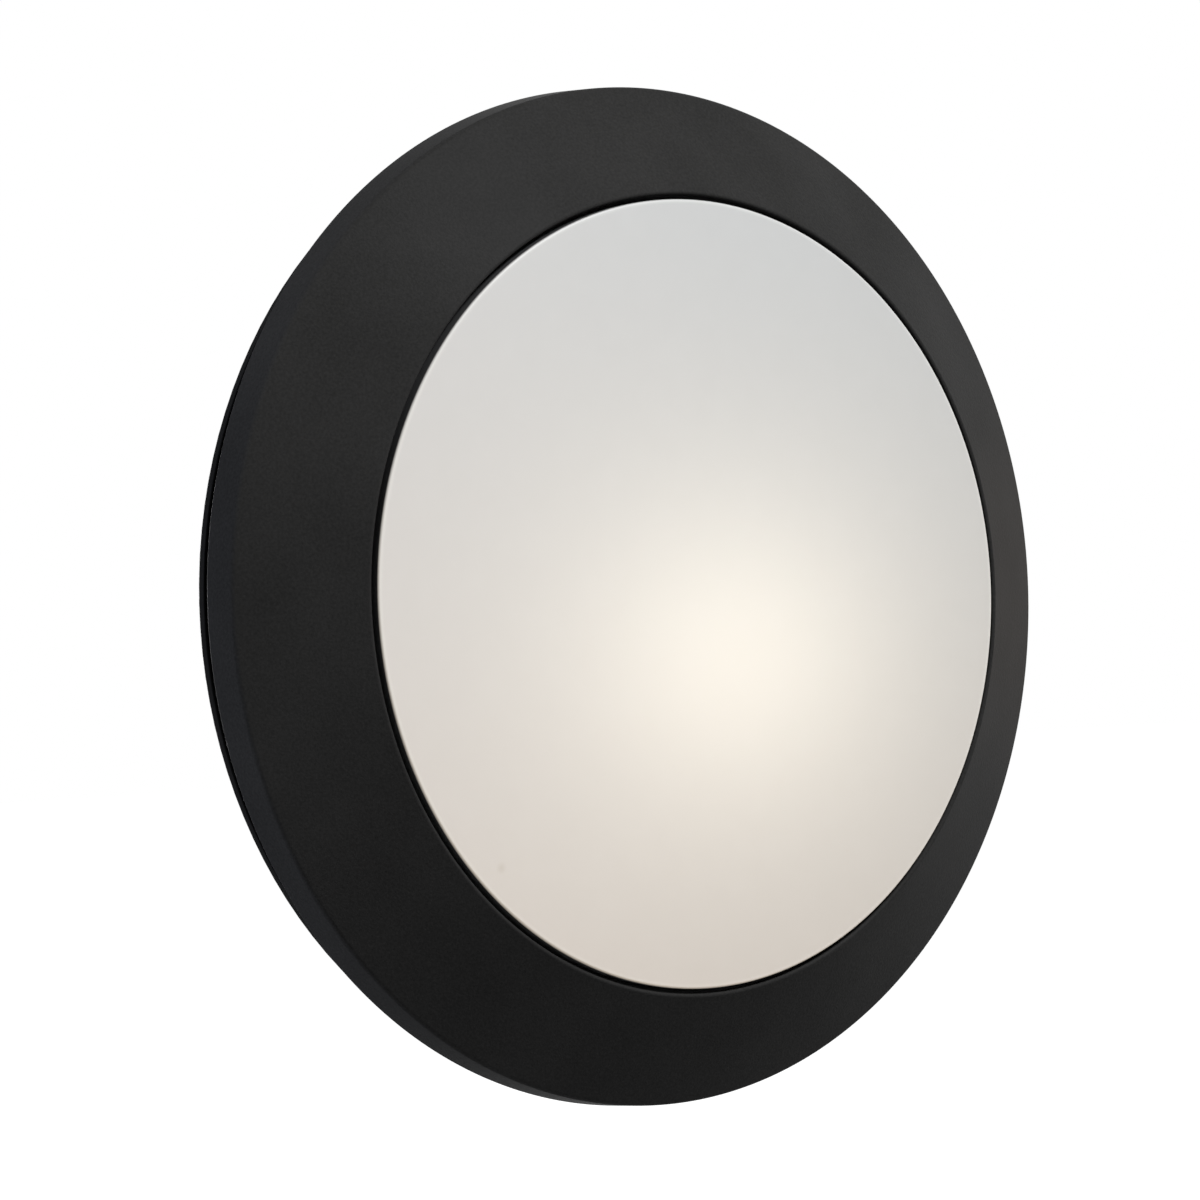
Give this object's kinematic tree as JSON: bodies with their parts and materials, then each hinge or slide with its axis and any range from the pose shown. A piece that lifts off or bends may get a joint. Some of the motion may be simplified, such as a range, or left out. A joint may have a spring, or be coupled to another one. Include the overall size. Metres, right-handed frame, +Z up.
{
  "type": "bulkhead light",
  "caption": "Round wall bulkhead light: a flared resin base dish with a screw-cap lamp on a white tray, and a sloping bezel with an opal diffuser that turns on by a bayonet.",
  "frame": {"origin": "centre of the base's flat back face, where the light's axis meets the wall", "axes": "+Z up as the light hangs, +Y into the wall, so that the diffuser faces -Y, and +X to the right seen from the front"},
  "size_m": [0.3, 0.096, 0.3],
  "materials": {
    "black_resin": "fine matte grain, moulded",
    "opal_acrylic": "satin opal",
    "seal_rubber": "matte",
    "white_enamel": "white reflector paint on aluminium sheet",
    "zinc_steel": "zinc plated",
    "rivet_aluminium": "plain",
    "holder_plastic": "moulded white",
    "steatite": "unglazed",
    "contact_brass": "plain",
    "lamp_glass": "frosted white",
    "block_nylon": "natural nylon",
    "wire_brown": "insulation",
    "wire_blue": "insulation"
  },
  "bodies": {
    "base": {"base": "black_resin", "cable_grommet": "seal_rubber", "fixing_washers": "seal_rubber", "cover_seal": "seal_rubber", "tray": "white_enamel", "tray_screws": "zinc_steel", "holder_bracket": "zinc_steel", "bracket_rivets": "rivet_aluminium", "holder_nipple": "zinc_steel", "holder_lock_nut": "zinc_steel", "holder_dome": "holder_plastic", "holder_insulator": "steatite", "holder_sleeve": "contact_brass", "holder_contact": "contact_brass", "holder_skirt": "holder_plastic", "lamp": "lamp_glass", "terminal_block": "block_nylon", "terminal_clamps": "contact_brass", "terminal_screws": "zinc_steel", "block_screw": "zinc_steel", "live_wire": "wire_brown", "neutral_wire": "wire_blue"},
    "cover": {"bezel": "black_resin", "diffuser": "opal_acrylic", "diffuser_seal": "seal_rubber"}
  },
  "joints": [
    {"name": "cover_twist", "type": "hinge", "parent": "base", "child": "cover", "pos_m": [0, 0, 0], "axis": [0, -1, 0], "range_deg": [0, 30]}
  ]
}
